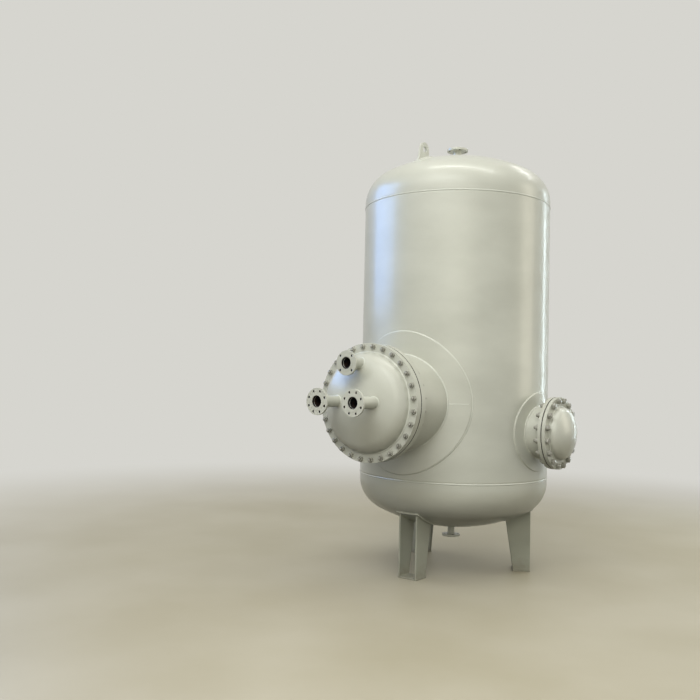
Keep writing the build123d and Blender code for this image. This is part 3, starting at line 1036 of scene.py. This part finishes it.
def softbox(name, bearing, distance, height, size, watts, colour, target=(0, 0, 1.9), turn=0.0,
            mirrored=True, scattered=True):
    """A rectangular soft lamp that the camera doesn't see, placed by its bearing from -Y towards +X and
    turned about its own axis. It may be left out of reflections, or show in nothing else."""
    data = bpy.data.lights.new(name, "AREA")
    data.shape = "RECTANGLE"
    data.size, data.size_y = size
    data.energy = watts
    data.color = linear(colour)[:3]
    lamp = in_scene(name, data)
    lamp.location = (distance * sin(radians(bearing)), -distance * cos(radians(bearing)), height)
    aimed = (Vector(target) - lamp.location).to_track_quat("-Z", "Y")
    lamp.rotation_euler = (aimed @ Quaternion((0, 0, 1), radians(turn))).to_euler()
    lamp.visible_camera = False
    lamp.visible_glossy = mirrored
    lamp.visible_diffuse = scattered


def seen_plainly(tree):
    """1 for what the camera sees, straight, mirrored or through glass, and 0 for the light that things
    scatter."""
    rays = tree.nodes.new("ShaderNodeLightPath").outputs
    shown = rays["Is Camera Ray"]
    for ray in ("Is Glossy Ray", "Is Transmission Ray"):
        shown = add(tree, "Math", {0: shown, 1: rays[ray]}, operation="MAXIMUM")
    return shown


def set_world():
    """A pale studio: the backdrop's own colour where it is seen, and as light a soft sky that is strongest
    overhead and nearly dark below the horizon."""
    world = bpy.data.worlds.new("studio")
    world.use_nodes = True
    bpy.context.scene.world = world
    tree = world.node_tree
    ray = add(tree, "TexCoord", {}, "Generated")
    overhead = add(tree, "SeparateXYZ", {0: ray}, "Z")
    sky = add(tree, "MapRange", {0: overhead, 2: 0.9, 3: 0.05, 4: 1.30})
    strength = add(tree, "MapRange", {0: seen_plainly(tree), 3: sky, 4: 1.0})
    set_inputs(tree, tree.nodes["Background"], {"Color": linear(backdrop), "Strength": strength})


def make_floor():
    """A wide disc of sealed concrete, softly clouded, that turns into the backdrop's colour with distance
    from the vessel."""
    distance = np.concatenate([[0], np.geomspace(1.0, 90.0, 24)])
    points, faces = grid_solid(turned(as_rows(distance, 0), 96), wrap_rows=False)
    points, faces, _ = shared_points(points, faces)
    mesh = bpy.data.meshes.new("floor")
    mesh.from_pydata(points.tolist(), [], [list(dict.fromkeys(face)) for face in faces.tolist()])
    material, tree, shader, where = new_material("sealed_concrete")
    clouds = add(tree, "TexNoise", {"Vector": where, "Scale": 0.8, "Detail": 5.0})
    share = add(tree, "MapRange", {0: clouds, 1: 0.35, 2: 0.65})
    colours = {0: share, 6: linear(floor_deep), 7: linear(floor_pale)}
    shown = seen_plainly(tree)
    seen = {0: shown, 6: linear(floor_bounce), 7: add(tree, "Mix", colours, 2, data_type="RGBA")}
    set_inputs(tree, shader, {
        "Base Color": add(tree, "Mix", seen, 2, data_type="RGBA"), "IOR": 1.5,
        "Roughness": add(tree, "MapRange", {0: clouds, 3: 0.42, 4: 0.6}),
    })
    away = add(tree, "VectorMath", {0: where}, "Value", operation="LENGTH")
    fade = add(tree, "MapRange", {0: away, 1: 2.5, 2: 9.0}, interpolation_type="SMOOTHSTEP")
    fade = add(tree, "Math", {0: fade, 1: shown}, operation="MULTIPLY")
    glow = add(tree, "Emission", {"Color": linear(backdrop), "Strength": 1.0})
    both = add(tree, "MixShader", {0: fade, 1: shader.outputs[0], 2: glow})
    set_inputs(tree, tree.nodes["Material Output"], {"Surface": both})
    mesh.materials.append(material)
    floor = in_scene("floor", mesh)


set_camera()
set_world()
make_floor()
# A lamp mirrored in the shell shows halfway between its bearing and the camera's
softbox("key", 14, 6.5, 7.2, (4.0, 3.0), 310, "#F8FBFF", mirrored=False)
softbox("fill", 34, 8.5, 3.6, (5.0, 3.6), 250, "#FFFCF2", mirrored=False)
softbox("front", 10, 8.0, 7.5, (12.0, 6.0), 100, "#FFFFFF")
softbox("left_window", -63, 6.0, 4.4, (4.0, 3.6), 175, "#82B2FF", scattered=False)
softbox("left_fill", -85, 8.0, 4.0, (4.0, 4.0), 70, "#F2F7FF", mirrored=False)
softbox("right_wall", 121, 6.0, 3.4, (2.0, 4.8), 55, "#FFF9EA")
softbox("right_gap", 160, 6.0, 2.8, (0.25, 4.8), 50, "#E6F8FF")
softbox("ceiling_tube", 57.8, 1.88, 8.0, (5.6, 0.2), 58, "#FFFFFF", target=(1.59, -0.9, 0), turn=17)
softbox("rear_tube", 156.6, 5.63, 8.0, (4.0, 0.2), 60, "#FFFFFF", target=(2.24, 5.27, 0), turn=27)

bpy.context.scene.view_settings.view_transform = "Standard"
